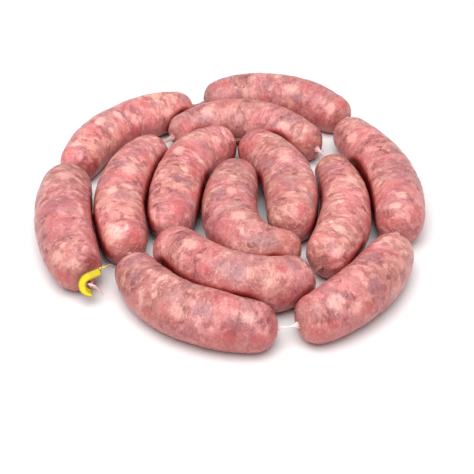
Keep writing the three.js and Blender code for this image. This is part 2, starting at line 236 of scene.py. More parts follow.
# The bare twisted casing: its radius, the shares of it at the links and at the waist, how abruptly it
# widens between them, and its pleats. It runs on into the dimples of the links by the overlap.
NECK_SIDES = 60
NECK_CUTS = 44
NECK_RADIUS = 2.1 * MM
NECK_FLARE = 1.12
NECK_FLARE_POWER = 2.2
NECK_WAIST = 0.5
NECK_WAISTS = {"twist_03": 0.75, "twist_05": 0.2, "twist_08": 0.3}
NECK_PLEATS = 7
NECK_PLEAT_DEPTH = 0.16
NECK_TURNS = 0.6
NECK_OVERLAP = 0.9 * MM
# How abruptly the colour of the links gives way to that of the bare casing at its ends.
END_FADE = 3
# How dry and white a piece of bare casing is, and how much dark red painted shade it gets down between
# the links, from 0 to 1.
DRY_CASING = {"twist_05": 0.8, "twist_08": 0.2, "tail_short": 0.05}
CASING_SHADE = {"twist_02": 0.5, "twist_06": 0.4, "twist_07": 0.1, "twist_09": 0.85, "twist_10": 0.8,
              "twist_11": 0.85, "twist_12": 0.8}

# The two loose ends of casing. The short one thins between two shares of its length, and the long
# one is stained yellow by the clip up to a share of its own.
TAIL_RADIUS = 0.75 * MM
TAIL_PLEATS = 3
SHORT_TAIL_RADII = (1.15 * MM, 0.4 * MM)
SHORT_TAIL_THINNING = (0.45, 0.8)
STAIN_END = 0.5
STAIN_FADE = 0.15

# The clip: a bent band, with the radius of its middle line, its sections and its straight arm.
CLIP_BEND = 5.3 * MM
CLIP_ARM = 8.5 * MM
CLIP_WIDTH = 5.2 * MM
CLIP_THICKNESS = 4.4 * MM
CLIP_TURN = math.radians(166)
CLIP_TURN_STEPS = 9
CLIP_STRIPS = 4
CLIP_FACING = Vector((0.20, -0.86, 0.42)).normalized()
CLIP_SLANT = math.radians(15)
CLIP_EDGE = 0.9 * MM
CLIP_EDGE_CUTS = 5
CLIP_EDGE_LIMIT = math.radians(50)
# The share of the straight arm, from its end, at which it has one more section.
CLIP_ARM_SECTION = 0.45
# Where the band gets painted shade, olive, at its edges and in its hollow, across it from -1 at its
# inner edge to 1 at its outer one: where the shade begins and over how much it deepens, and how much
# farther it reaches across inside the low end.
OUTER_SHADE = (0.4, 0.5)
INNER_SHADE = (-0.2, 0.6)
INNER_SHADE_LOW = 0.8

# The set, in metres and watts, with the camera's sensor and lens in millimetres. The camera's place
# and what it looks at were fitted to the outlines in the photo.
FLOOR_SIZE = 6
SOFTBOX_PLACE = (-0.1, -0.35, 1.2)
SOFTBOX_SIZE = 1.3
SOFTBOX_POWER = 21.5
STUDIO_LIGHT = 0.53
CAMERA_PLACE = (0.00423, -0.57856, 0.46377)
CAMERA_TARGET = (0.00423, -0.02586, 0)
CAMERA_SENSOR = 36
CAMERA_LENS = 82.3


def active_only(piece):
    bpy.ops.object.select_all(action="DESELECT")
    piece.select_set(True)
    bpy.context.view_layer.objects.active = piece


def keep_modifiers(piece):
    active_only(piece)
    for modifier in list(piece.modifiers):
        bpy.ops.object.modifier_apply(modifier=modifier.name)


def select_where(piece, test):
    """In edit mode: selects the points that pass the test, and what lies between them."""
    shape = bmesh.from_edit_mesh(piece.data)
    for point in shape.verts:
        point.select = test(point.co)
    shape.select_flush_mode()
    bmesh.update_edit_mesh(piece.data)


def places_of(piece):
    places = np.empty(len(piece.data.vertices) * 3)
    piece.data.vertices.foreach_get("co", places)
    return places.reshape(-1, 3)


def normals_of(piece):
    normals = np.empty(len(piece.data.vertices) * 3)
    piece.data.vertices.foreach_get("normal", normals)
    return normals.reshape(-1, 3)


def raise_surface(piece, heights):
    """Moves each point along its own normal by the height that is given for it."""
    places = places_of(piece) + normals_of(piece) * heights[:, None]
    piece.data.vertices.foreach_set("co", places.ravel())
    piece.data.update()


def store(piece, name, values):
    kind = "FLOAT_VECTOR" if values.ndim == 2 else "FLOAT"
    attribute = piece.data.attributes.new(name, kind, "POINT")
    attribute.data.foreach_set("vector" if values.ndim == 2 else "value", values.ravel())


def stored(piece, name):
    values = np.empty(len(piece.data.vertices) * 3)
    piece.data.attributes[name].data.foreach_get("vector", values)
    return values.reshape(-1, 3)


def finish_piece(piece, material, node_name):
    """Gives a piece its material, and its place in the object."""
    active_only(piece)
    bpy.ops.object.shade_smooth()
    piece.data.materials.clear()
    piece.data.materials.append(material)
    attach(piece, "root")
    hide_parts(node_name)


# Reading the solids.

def merged_solid(node):
    """A copy of a solid whose triangles share their points."""
    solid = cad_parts[node].copy()
    solid.data = solid.data.copy()
    solid.parent = None
    bpy.context.collection.objects.link(solid)
    active_only(solid)
    bpy.ops.object.mode_set(mode="EDIT")
    bpy.ops.mesh.select_all(action="SELECT")
    bpy.ops.mesh.remove_doubles(threshold=0.001 * MM)
    bpy.ops.object.mode_set(mode="OBJECT")
    return solid


def smooth(solid):
    """Rounds off a solid's facets, so that a casing laid on it shows none of them."""
    active_only(solid)
    bpy.ops.object.mode_set(mode="EDIT")
    bpy.ops.mesh.select_all(action="SELECT")
    bpy.ops.mesh.tris_convert_to_quads(face_threshold=QUAD_FOLD, shape_threshold=QUAD_SHAPE)
    bpy.ops.object.mode_set(mode="OBJECT")
    rounder = solid.modifiers.new("rounder", "SUBSURF")
    rounder.levels = SMOOTHING_LEVELS
    rounder.render_levels = SMOOTHING_LEVELS
    keep_modifiers(solid)


def middle_line(solid, near):
    """The middles of a solid's rings, from the end that is nearer to a place.

    The two ends are the points where the most edges meet, and the farthest out of those.
    """
    shape = bmesh.new()
    shape.from_mesh(solid.data)
    centre = sum((point.co for point in shape.verts), Vector()) / len(shape.verts)
    likeliest = sorted(
        shape.verts, key=lambda point: (-len(point.link_edges), -(point.co - centre).length))
    start = min(likeliest[:2], key=lambda pole: (pole.co - near).length)
    line = []
    seen = {start}
    ring = [start]
    while ring:
        middle = sum((point.co for point in ring), Vector()) / len(ring)
        if not line or (middle - line[-1]).length > SHORTEST_STEP:
            line.append(middle)
        beside = {edge.other_vert(point) for point in ring for edge in point.link_edges}
        ring = sorted(beside - seen, key=lambda point: point.index)
        seen.update(ring)
    shape.free()
    return line


def ring_radius(solid, line):
    """How far the surface lies from the middle line."""
    places = places_of(solid)
    middles = np.array(line)
    nearest = np.linalg.norm(places[:, None, :] - middles[None, :, :], axis=2).min(axis=1)
    return float(np.percentile(nearest, RADIUS_PERCENTILE))


def line_length(line):
    return sum((after - before).length for before, after in zip(line, line[1:]))


def centre_of(node):
    low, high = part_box(node)
    return (low + high) / 2


# Laying straight pieces down.

def bend_along(piece, line):
    """Bends a straight piece, which runs from x = 0 along +X, onto a line."""
    path_data = bpy.data.curves.new("path", "CURVE")
    path_data.dimensions = "3D"
    path_data.twist_mode = "Z_UP"
    path_data.resolution_u = 32
    path = path_data.splines.new("BEZIER")
    path.bezier_points.add(len(line) - 1)
    for point, place in zip(path.bezier_points, line):
        point.co = place
        point.handle_left_type = point.handle_right_type = "AUTO"
    guide = bpy.data.objects.new("path", path_data)
    bpy.context.collection.objects.link(guide)
    bend = piece.modifiers.new("bend", "CURVE")
    bend.object = guide
    bend.deform_axis = "POS_X"
    keep_modifiers(piece)
    bpy.data.objects.remove(guide)


def wrap_onto(piece, solid, offset):
    wrap = piece.modifiers.new("wrap", "SHRINKWRAP")
    wrap.target = solid
    wrap.wrap_method = "NEAREST_SURFACEPOINT"
    wrap.wrap_mode = "ON_SURFACE"
    wrap.offset = offset
    keep_modifiers(piece)


def straight_link():
    """A link before it is laid down: a roll with round ends, one radius thick, along +X."""
    bpy.ops.mesh.primitive_uv_sphere_add(segments=LINK_SIDES, ring_count=2 * CAP_RINGS, radius=1)
    link = bpy.context.object
    bpy.ops.object.mode_set(mode="EDIT")
    bpy.ops.mesh.select_all(action="SELECT")
    bpy.ops.transform.rotate(value=math.pi / 2, orient_axis="Y", center_override=(0, 0, 0))
    bpy.ops.transform.translate(value=(1, 0, 0))
    select_where(link, lambda place: place.x > 1 + RIM_MARGIN_IN_RADII)
    bpy.ops.transform.translate(value=(BODY_IN_RADII, 0, 0))
    bpy.ops.mesh.select_mode(type="EDGE")
    shape = bmesh.from_edit_mesh(link.data)
    for edge in shape.edges:
        edge.select_set(edge.calc_length() > BODY_IN_RADII)
    bmesh.update_edit_mesh(link.data)
    bpy.ops.mesh.subdivide(number_cuts=BODY_CUTS)
    bpy.ops.mesh.select_mode(type="VERT")
    bpy.ops.object.mode_set(mode="OBJECT")
    return link


def lump_texture(size, index):
    texture = bpy.data.textures.new(f"lumps_{index}", "CLOUDS")
    texture.noise_scale = size
    texture.noise_depth = 1
    return texture


def add_lumps(piece, textures):
    for (_, height), texture in zip(LUMPS, textures):
        lumps = piece.modifiers.new("lumps", "DISPLACE")
        lumps.texture = texture
        lumps.texture_coords = "LOCAL"
        lumps.strength = height
        lumps.mid_level = 0.5
    keep_modifiers(piece)


def around_of(straight):
    """The angle of each point round a straight piece, from its left."""
    return np.arctan2(straight[:, 2], straight[:, 1])


def tip_relief(straight, length, index):
    """Folds that run from each twist out over the end of the link."""
    around = around_of(straight)
    wide, narrow = TIP_PLEAT_WANDER
    heights = np.zeros(len(straight))
    for end, tip in enumerate((0.0, length)):
        turn = NEXT_LINK_TURN * index + OTHER_END_TURN * end
        distance = np.hypot(straight[:, 0] - tip, np.hypot(straight[:, 1], straight[:, 2]))
        wander = wide * np.sin(3 * around + turn) + narrow * np.sin(5 * around - turn)
        folds = np.cos(TIP_PLEATS * around + wander)
        uneven = 1 - TIP_PLEAT_UNEVEN + TIP_PLEAT_UNEVEN * np.sin(2 * around + 2 * turn)
        inner = 1 - np.exp(-(distance / TIP_PLEAT_START) ** 2)
        outer = np.exp(-(distance / TIP_PLEAT_REACH) ** 2)
        heights += TIP_PLEAT_DEPTH * uneven * inner * outer * (folds - 1) / 2
    return heights


def bend_relief(straight, line, index):
    """Fine creases across the side that the bend of a link presses together."""
    points = np.array(line)
    steps = np.linalg.norm(np.diff(points, axis=0), axis=1)
    along = np.concatenate([[0], np.cumsum(steps)])
    fine = np.linspace(0, along[-1], BEND_POINTS)
    evened = np.column_stack([np.interp(fine, along, points[:, axis]) for axis in range(3)])
    for _ in range(BEND_EVENINGS):
        evened[1:-1] = (evened[:-2] + 2 * evened[1:-1] + evened[2:]) / 4
    heading = np.unwrap(np.arctan2(np.gradient(evened[:, 1]), np.gradient(evened[:, 0])))
    turning = np.gradient(heading, fine)
    # The piece's +Y lies on the left of the line, and the bend presses the side that it turns to.
    shortened = np.interp(straight[:, 0], fine, turning) * straight[:, 1]
    pressed = np.clip(shortened, 0, HARDEST_PRESSED)
    around = around_of(straight)
    wide, narrow = WRINKLE_WANDER
    wander = wide * np.sin(2 * around + index) + narrow * np.sin(5 * around - 2 * index)
    waves = np.sin(2 * math.pi * straight[:, 0] / WRINKLE_SPACING + wander)
    patchy = (1 + np.sin(straight[:, 0] / WRINKLE_PATCH + 3 * index) * np.sin(3 * around + index)) / 2
    return WRINKLE_DEPTH * pressed * patchy * (waves - 1) / 2


def nip_relief(straight, length, share, depth, half_width):
    """A shallow ring round the link, where the casing was held while it was filled."""
    place = share * length + NIP_WANDER * np.sin(around_of(straight) + NIP_ANGLE)
    return -depth * np.exp(-((straight[:, 0] - place) / half_width) ** 2)


def lay_link(master, name, index, textures, link_lines):
    """Bends a straight link onto its solid, and gives its casing lumps, folds and creases."""
    before = centre_of("clip") if index == 0 else centre_of(TWIST_NAMES[index - 1])
    solid = merged_solid(name)
    line = middle_line(solid, before)
    radius = ring_radius(solid, line)
    length = line_length(line)
    smooth(solid)

    link = master.copy()
    link.data = master.data.copy()
    link.name = link.data.name = f"filled_{name}"
    bpy.context.collection.objects.link(link)
    active_only(link)
    bpy.ops.object.mode_set(mode="EDIT")
    bpy.ops.mesh.select_all(action="SELECT")
    whole_in_radii = BODY_IN_RADII + 2
    bpy.ops.transform.resize(
        value=(length / whole_in_radii, radius, radius), center_override=(0, 0, 0))
    bpy.ops.object.mode_set(mode="OBJECT")
    store(link, "straight", places_of(link))

    bend_along(link, line)
    wrap_onto(link, solid, CASING_OFFSET)
    straight = stored(link, "straight")
    heights = tip_relief(straight, length, index) + bend_relief(straight, line, index)
    heights += SMOOTHING_LOSS * (1 - crevice_strength(link, name, link_lines))
    if name in NIPS:
        heights += nip_relief(straight, length, *NIPS[name])
    raise_surface(link, heights)
    add_lumps(link, textures)
    lift_onto_table(link)
    from_tip = np.minimum(straight[:, 0], length - straight[:, 0])
    store(link, "from_tip", from_tip)
    store(link, "tone", np.full(len(straight), LINK_TONES.get(name, 1.0)))
    store(link, "meat_place", straight * np.array(MEAT_SMEARED) + index * np.array(NEXT_MEAT))
    for kind in PATCH_COLOURS:
        store(link, kind, patch_strength(straight, length, radius, index + 1, kind))
    store(link, "crevice", crevice_strength(link, name, link_lines))
    bpy.data.objects.remove(solid)
    finish_piece(link, MEAT, name)


def lift_onto_table(piece):
    places = places_of(piece)
    places[:, 2] = np.maximum(places[:, 2], 0.0)
    piece.data.vertices.foreach_set("co", places.ravel())
    piece.data.update()


def patch_strength(straight, length, radius, number, kind):
    """How strongly the named patches of one kind colour each point of a link, from 0 to 1."""
    from_top = math.pi / 2 - around_of(straight)
    strength = np.zeros(len(straight))
    for link, share, turn, long, wide, patch_kind in PATCHES:
        if link == number and patch_kind == kind:
            along = (straight[:, 0] - share * length) / (long * MM / 2)
            apart = (from_top - math.radians(turn) + math.pi) % (2 * math.pi) - math.pi
            across = apart * radius / (wide * MM / 2)
            patch = (PATCH_GONE - np.hypot(along, across)) / (PATCH_GONE - PATCH_FULL)
            strength = np.maximum(strength, np.clip(patch, 0, 1))
    return strength


def crevice_strength(piece, name, link_lines):
    """How far in each point lies between its link and the links beside it, from 0 to 1, which sets
    where crevice shade is painted.
    """
    places = places_of(piece)
    lowness = np.clip(1 - places[:, 2] / CREVICE_HEIGHT, 0, 1)
    reach = CREVICE_REACH + CREVICE_DEEPER * lowness ** CREVICE_GROWTH
    nearest = np.full(len(places), np.inf)
    for other, (middles, radius) in link_lines.items():
        if other != name:
            for middle in middles:
                nearest = np.minimum(nearest, np.linalg.norm(places - middle, axis=1) - radius)
    return np.exp(-(np.maximum(nearest, 0) / reach) ** 2)


# The bare casing.

def straight_neck():
    """A tube of one unit along +X, with closed ends, before it is pleated and laid down."""
    bpy.ops.mesh.primitive_cylinder_add(vertices=NECK_SIDES, radius=1, depth=1, end_fill_type="TRIFAN")
    neck = bpy.context.object
    bpy.ops.object.mode_set(mode="EDIT")
    bpy.ops.mesh.select_all(action="SELECT")
    bpy.ops.transform.rotate(value=math.pi / 2, orient_axis="Y", center_override=(0, 0, 0))
    bpy.ops.transform.translate(value=(0.5, 0, 0))
    bpy.ops.mesh.select_mode(type="EDGE")
    shape = bmesh.from_edit_mesh(neck.data)
    for edge in shape.edges:
        edge.select_set(abs(edge.verts[0].co.x - edge.verts[1].co.x) > 0.5)
    bmesh.update_edit_mesh(neck.data)
    bpy.ops.mesh.subdivide(number_cuts=NECK_CUTS)
    bpy.ops.mesh.select_mode(type="VERT")
    bpy.ops.object.mode_set(mode="OBJECT")
    return neck


def neck_profile(name):
    """A twist's radius at each share of its length: narrow at the waist and wide at the links."""
    waist = NECK_WAISTS.get(name, NECK_WAIST)
    flare = NECK_FLARE - waist
    return lambda share: NECK_RADIUS * (waist + flare * from_middle(share) ** NECK_FLARE_POWER)


def knot_profile(share):
    """The tied end's radius: it tapers, swells in the middle and closes in a round tip."""
    taper = 0.85 - 0.5 * share
    swelling = 0.4 * np.sin(np.pi * share) ** 2
    rounding = np.sqrt(1.02 - share ** 6)
    return NECK_RADIUS * (taper + swelling) * rounding


def long_tail_profile(share):
    """The strand's radius, which is a little uneven."""
    return TAIL_RADIUS * (1 + 0.10 * np.sin(19 * share) + 0.08 * np.sin(43 * share + 1))


def short_tail_profile(share):
    """The radius of the casing through the clip, gathered at first and then thin and uneven."""
    thick, thin = SHORT_TAIL_RADII
    begins, ends = SHORT_TAIL_THINNING
    thinning = np.clip((share - begins) / (ends - begins), 0, 1)
    even = thick + (thin - thick) * thinning ** 2 * (3 - 2 * thinning)
    return even * (1 + 0.12 * np.sin(31 * share))


def from_middle(share):
    """0 in the middle of a piece of casing and 1 at its two ends."""
    return np.abs(2 * share - 1)


def lay_casing(master, name, near, profile, pleats, overlap):
    """Lays a tube of pleated and twisted casing along the middle of a solid."""
    solid = merged_solid(name)
    line = middle_line(solid, near)
    line[0] = line[0] + (line[0] - line[-1]).normalized() * overlap
    line[-1] = line[-1] + (line[-1] - line[-2]).normalized() * overlap
    length = line_length(line)
    bpy.data.objects.remove(solid)

    tube = master.copy()
    tube.data = master.data.copy()
    tube.name = tube.data.name = f"wound_{name}"
    bpy.context.collection.objects.link(tube)
    places = places_of(tube)
    share = places[:, 0]
    around = np.arctan2(places[:, 2], places[:, 1])
    turned = around + 2 * math.pi * NECK_TURNS * share
    small_folds = np.cos((2 * pleats + 1) * turned + 1)
    folds = np.cos(pleats * turned) + small_folds / 2
    reach = profile(share) * (1 + NECK_PLEAT_DEPTH * folds) * np.hypot(places[:, 1], places[:, 2])
    shaped = np.column_stack([share * length, reach * np.cos(around), reach * np.sin(around)])
    tube.data.vertices.foreach_set("co", shaped.ravel())
    tube.data.update()
    at_ends = from_middle(share) ** END_FADE
    store(tube, "folds", np.clip(0.5 + folds / 3, 0, 1))
    store(tube, "dry", DRY_CASING.get(name, 0.0) * (1 - at_ends))
    store(tube, "filled", at_ends if name in TWIST_NAMES else np.zeros(len(share)))
    store(tube, "neck_shade", np.full(len(share), CASING_SHADE.get(name, 0.0)))
    if name == "tail_long":
        store(tube, "tinted", np.clip((STAIN_END - share) / STAIN_FADE, 0, 1))
    bend_along(tube, line)
    lift_onto_table(tube)
    finish_piece(tube, CASING, name)


# The clip.

def add_clip():
    """A bent band with rounded edges, made flat and then turned to where it faces."""
    bpy.ops.mesh.primitive_plane_add(size=1)
    clip = bpy.context.object
    clip.name = clip.data.name = "bent_clip"
    bpy.ops.object.mode_set(mode="EDIT")
    bpy.ops.mesh.select_all(action="SELECT")
    bpy.ops.transform.rotate(value=math.pi / 2, orient_axis="Y", center_override=(0, 0, 0))
    bpy.ops.transform.resize(value=(1, CLIP_WIDTH, CLIP_THICKNESS), center_override=(0, 0, 0))
    bpy.ops.mesh.subdivide(number_cuts=CLIP_STRIPS - 1)
    bpy.ops.transform.translate(value=(CLIP_ARM, CLIP_BEND, 0))
    for share in (CLIP_ARM_SECTION, 1 - CLIP_ARM_SECTION):
        bpy.ops.mesh.extrude_region_move(TRANSFORM_OT_translate={"value": (-CLIP_ARM * share, 0, 0)})
    bpy.ops.mesh.spin(steps=CLIP_TURN_STEPS, angle=-CLIP_TURN, center=(0, 0, 0), axis=(0, 0, 1))
    bpy.ops.mesh.select_all(action="SELECT")
    bpy.ops.mesh.remove_doubles(threshold=0.01 * MM)
    bpy.ops.mesh.normals_make_consistent(inside=False)
    bpy.ops.object.mode_set(mode="OBJECT")
    rounding = clip.modifiers.new("rounding", "BEVEL")
    rounding.width = CLIP_EDGE
    rounding.segments = CLIP_EDGE_CUTS
    rounding.limit_method = "ANGLE"
    rounding.angle_limit = CLIP_EDGE_LIMIT
    rounding.use_clamp_overlap = False
    keep_modifiers(clip)
    store_clip_shade(clip)
    place_clip(clip)
    finish_piece(clip, PLASTIC, "clip")


def store_clip_shade(clip):
    """Stores, while the clip still lies flat, where it gets painted shade and where its straight arm
    is.
    """
    flat = places_of(clip)
    store(clip, "behind", np.clip(0.5 - flat[:, 2] / CLIP_THICKNESS, 0, 1))
    store(clip, "on_arm", np.clip(flat[:, 0] / CLIP_ARM, 0, 1))
    middle = np.where(flat[:, 0] > 0, flat[:, 1], np.hypot(flat[:, 0], flat[:, 1]))
    across = (middle - CLIP_BEND) / (CLIP_WIDTH / 2)
    low = np.clip(-flat[:, 1] / CLIP_BEND, 0, 1)
    outer_start, outer_depth = OUTER_SHADE
    inner_start, inner_depth = INNER_SHADE
    outer = (across - outer_start) / outer_depth
    inner = (inner_start + INNER_SHADE_LOW * low - across) / inner_depth
    store(clip, "painted_edge_shade", np.clip(np.maximum(outer, inner), 0, 1))


def place_clip(clip):
    """Turns the clip to where it faces, and sets it on its solid by the solid's left and top."""
    slant = Matrix.Rotation(CLIP_SLANT, 3, CLIP_FACING)
    right = slant @ UP.cross(CLIP_FACING).normalized()
    up = CLIP_FACING.cross(right)
    points = places_of(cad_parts["clip"])
    rightwards = points @ np.array(right)
    upwards = points @ np.array(up)
    forwards = points @ np.array(CLIP_FACING)
    reach = CLIP_BEND + CLIP_WIDTH / 2
    hole = (right * (rightwards.min() + reach) + up * (upwards.max() - reach)
            + CLIP_FACING * (forwards.min() + forwards.max()) / 2)
    turned = Matrix((right, up, CLIP_FACING)).transposed().to_4x4()
    clip.matrix_world = Matrix.Translation(hole) @ turned
    active_only(clip)
    bpy.ops.object.transform_apply(location=True, rotation=True, scale=True)


# Materials.

class Nodes:
    """Adds shader nodes to one material, in the order in which the finish is built up."""

    def __init__(self, name):
        self.material = bpy.data.materials.new(name)
        self.material.use_nodes = True
        self.tree = self.material.node_tree
        self.shader = self.tree.nodes["Principled BSDF"]
        self.places = self.add("ShaderNodeTexCoord").outputs["Object"]

    def add(self, kind, **settings):
        node = self.tree.nodes.new(kind)
        for setting, value in settings.items():
            setattr(node, setting, value)
        return node

    def link(self, value, socket):
        if isinstance(value, bpy.types.NodeSocket):
            self.tree.links.new(value, socket)
        else:
            socket.default_value = value

    def attribute(self, name):
        return self.add("ShaderNodeAttribute", attribute_name=name).outputs["Fac"]

    def height(self):
        """The height above the table."""
        split = self.add("ShaderNodeSeparateXYZ")
        self.link(self.places, split.inputs[0])
        return split.outputs["Z"]

    def noise(self, size, detail=2.0, at=None, colour=False):
        node = self.add("ShaderNodeTexNoise")
        self.link(at or self.places, node.inputs["Vector"])
        node.inputs["Scale"].default_value = 1 / size
        node.inputs["Detail"].default_value = detail
        return node.outputs["Color" if colour else "Fac"]

    def chunks(self, size, softness, at=None):
        """A random number for each chunk of meat, with soft edges between the chunks."""
        node = self.add("ShaderNodeTexVoronoi", feature="SMOOTH_F1")
        self.link(at or self.places, node.inputs["Vector"])
        node.inputs["Scale"].default_value = 1 / size
        node.inputs["Smoothness"].default_value = softness
        split = self.add("ShaderNodeSeparateColor")
        self.link(node.outputs["Color"], split.inputs[0])
        return split.outputs[0]

    def wandering(self, size, reach):
        """The places, pushed about so that a pattern on them has ragged edges."""
        centred = self.add("ShaderNodeVectorMath", operation="SUBTRACT")
        self.link(self.noise(size, colour=True), centred.inputs[0])
        centred.inputs[1].default_value = (0.5, 0.5, 0.5)
        scaled = self.add("ShaderNodeVectorMath", operation="SCALE")
        self.link(centred.outputs[0], scaled.inputs[0])
        scaled.inputs["Scale"].default_value = reach
        moved = self.add("ShaderNodeVectorMath", operation="ADD")
        self.link(self.places, moved.inputs[0])
        self.link(scaled.outputs[0], moved.inputs[1])
        return moved.outputs[0]

    def math(self, operation, first, second=0.0, third=0.0):
        node = self.add("ShaderNodeMath", operation=operation)
        for value, socket in zip((first, second, third), node.inputs):
            self.link(value, socket)
        return node.outputs[0]

    def sharpened(self, value, low, high, to_low=0.0, to_high=1.0):
        node = self.add("ShaderNodeMapRange", interpolation_type="SMOOTHSTEP")
        for socket, number in zip(node.inputs, (value, low, high, to_low, to_high)):
            self.link(number, socket)
        return node.outputs[0]

    def ramp(self, value, stops):
        node = self.add("ShaderNodeValToRGB")
        node.color_ramp.interpolation = "EASE"
        self.link(value, node.inputs[0])
        elements = node.color_ramp.elements
        while len(elements) < len(stops):
            elements.new(0.5)
        for element, (position, colour) in zip(elements, stops):
            element.position = position
            element.color = seen(colour)
        return node.outputs[0]

    def mixed(self, share, first, second, blend="MIX"):
        node = self.add("ShaderNodeMix", data_type="RGBA", blend_type=blend)
        self.link(share, node.inputs["Factor"])
        # A Mix node's sockets for colours are its seventh and eighth, and its third output.
        self.link(first, node.inputs[6])
        self.link(second, node.inputs[7])
        return node.outputs[2]

    def covered(self, under, where, strength, colour):
        """A colour over another, at some strength in the places where it lies."""
        return self.mixed(self.math("MULTIPLY", where, strength), under, seen(colour))

    def bumped(self, height, depth, strength=1.0, under=None):
        node = self.add("ShaderNodeBump")
        self.link(height, node.inputs["Height"])
        node.inputs["Distance"].default_value = depth
        node.inputs["Strength"].default_value = strength
        if under is not None:
            self.link(under, node.inputs["Normal"])
        return node.outputs[0]


def seen(colour):
    """A colour as it is seen on screen, from 0 to 255, as the light that a shader works with."""
    def light(value):
        share = value / 255
        return share / 12.92 if share <= 0.04045 else ((share + 0.055) / 1.055) ** 2.4
    return tuple(light(value) for value in colour) + (1.0,)


def meat_mixture(nodes, ragged):
    """Chunks of meat in two sizes and their grain: low where it is lean, and high where it is fat."""
    large = nodes.chunks(8 * MM, 0.7, ragged)
    small = nodes.chunks(3.4 * MM, 0.6, ragged)
    grain = nodes.noise(1.2 * MM, 3.0)
    chunks = nodes.math("MULTIPLY_ADD", large, 0.28, nodes.math("MULTIPLY", small, 0.39))
    return nodes.math("MULTIPLY_ADD", grain, 0.42, nodes.math("SUBTRACT", chunks, 0.045))


def meat_stretches(nodes, meat, ragged):
    """Whole stretches are leaner and look mauve, others are rosier."""
    tint = nodes.sharpened(nodes.noise(28 * MM, 1.0), 0.38, 0.62)
    tint = nodes.mixed(tint, seen(WARM_TINT), seen(COOL_TINT))
    meat = nodes.mixed(1.0, meat, tint, "MULTIPLY")
    broad = nodes.sharpened(nodes.noise(20 * MM, 2.0), 0.46, 0.68)
    meat = nodes.covered(meat, broad, 0.4, LEAN_STRETCH)
    rosy = nodes.sharpened(nodes.noise(22 * MM, 2.0, ragged), 0.50, 0.66)
    return nodes.covered(meat, rosy, 0.4, ROSY_STRETCH)


def meat_patches(nodes, meat):
    """The named patches, with ragged edges, and each link's own tone."""
    for kind, (colour, strength) in PATCH_COLOURS.items():
        ragged_edge = nodes.math("MULTIPLY_ADD", nodes.noise(2.6 * MM, 3.0), 1.2, nodes.attribute(kind))
        meat = nodes.covered(meat, nodes.sharpened(ragged_edge, 0.9, 1.7), strength, colour)
    return nodes.mixed(1.0, meat, nodes.attribute("tone"), "MULTIPLY")


def meat_crumbs(nodes, meat, ragged):
    """Small crumbs of fat and of lean meat."""
    fat = nodes.sharpened(nodes.noise(1.5 * MM, 1.0), 0.60, 0.72)
    meat = nodes.covered(meat, fat, 0.28, FAT_CRUMB)
    lean = nodes.sharpened(nodes.noise(1.9 * MM, 2.0, ragged), 0.40, 0.28)
    return nodes.covered(meat, lean, 0.45, LEAN_CRUMB)


def fat_strings_and_glints(nodes):
    """Thin strings of fat that wander through the meat and show here and there, paler as painted glints
    on wet wrinkles.
    """
    off_string = nodes.math("ABSOLUTE", nodes.math("SUBTRACT", nodes.noise(5.5 * MM, 1.5), 0.5))
    strings = nodes.sharpened(off_string, 0.024, 0.002)
    shown = nodes.sharpened(nodes.noise(9 * MM, 1.0), 0.53, 0.66)
    return nodes.math("MULTIPLY", strings, shown)


def meat_gathering_and_shade(nodes, meat, height):
    """The casing is gathered at the twists, with dark red painted shade below and between the links."""
    gathered = nodes.sharpened(nodes.attribute("from_tip"), 0.3 * MM, 3.0 * MM, 0.3, 0.0)
    meat = nodes.mixed(gathered, meat, seen(GATHERED_CASING))
    # Painted shade: the meat is darker and redder towards the table.
    lower = nodes.sharpened(height, 28 * MM, 4 * MM, 0.0, 0.55)
    meat = nodes.mixed(lower, meat, seen(LOW_SHADE_MEAT))
    # Painted shade, dark red, on the casing between links that lie close together.
    crevice = nodes.attribute("crevice")
    meat = nodes.mixed(nodes.sharpened(crevice, 0.04, 0.6, 0.0, 0.85), meat, seen(CREVICE_SHADE_EDGE))
    return nodes.mixed(nodes.sharpened(crevice, 0.35, 0.95, 0.0, 0.95), meat, seen(CREVICE_SHADE_BOTTOM))


def meat_material():
    """Coarse pink meat and fat, seen through a thin moist casing."""
    nodes = Nodes("coarse meat in casing")
    height = nodes.height()
    nodes.places = nodes.add("ShaderNodeAttribute", attribute_name="meat_place").outputs["Vector"]
    ragged = nodes.wandering(5 * MM, 6 * MM)
    mixture = meat_mixture(nodes, ragged)
    strings = fat_strings_and_glints(nodes)
    meat = meat_stretches(nodes, nodes.ramp(mixture, MEAT_COLOURS), ragged)
    meat = meat_patches(nodes, meat)
    meat = meat_crumbs(nodes, meat, ragged)
    # Pale strings of fat, partly painted highlight: the glints on wet wrinkles.
    meat = nodes.covered(meat, strings, 0.4, FAT_STRING_AND_GLINT)
    meat = meat_gathering_and_shade(nodes, meat, height)
    nodes.link(meat, nodes.shader.inputs["Base Color"])

    moist = nodes.sharpened(nodes.noise(4 * MM, 3.0), 0.35, 0.65, 0.44, 0.27)
    nodes.link(moist, nodes.shader.inputs["Roughness"])
    relief = nodes.bumped(mixture, 0.75 * MM, 0.75)
    relief = nodes.bumped(strings, 0.16 * MM, 0.6, relief)
    relief = nodes.bumped(nodes.noise(1.9 * MM, 2.0), 0.42 * MM, 0.85, relief)
    relief = nodes.bumped(nodes.noise(1.0 * MM, 1.0), 0.12 * MM, 0.7, relief)
    nodes.link(relief, nodes.shader.inputs["Normal"])
    shader = nodes.shader.inputs
    shader["Subsurface Weight"].default_value = 0.2
    shader["Subsurface Radius"].default_value = (1.0, 0.32, 0.2)
    shader["Subsurface Scale"].default_value = 3 * MM
    shader["Specular IOR Level"].default_value = 0.32
    shader["Coat Weight"].default_value = 0.1
    shader["Coat Roughness"].default_value = 0.22
    return nodes.material


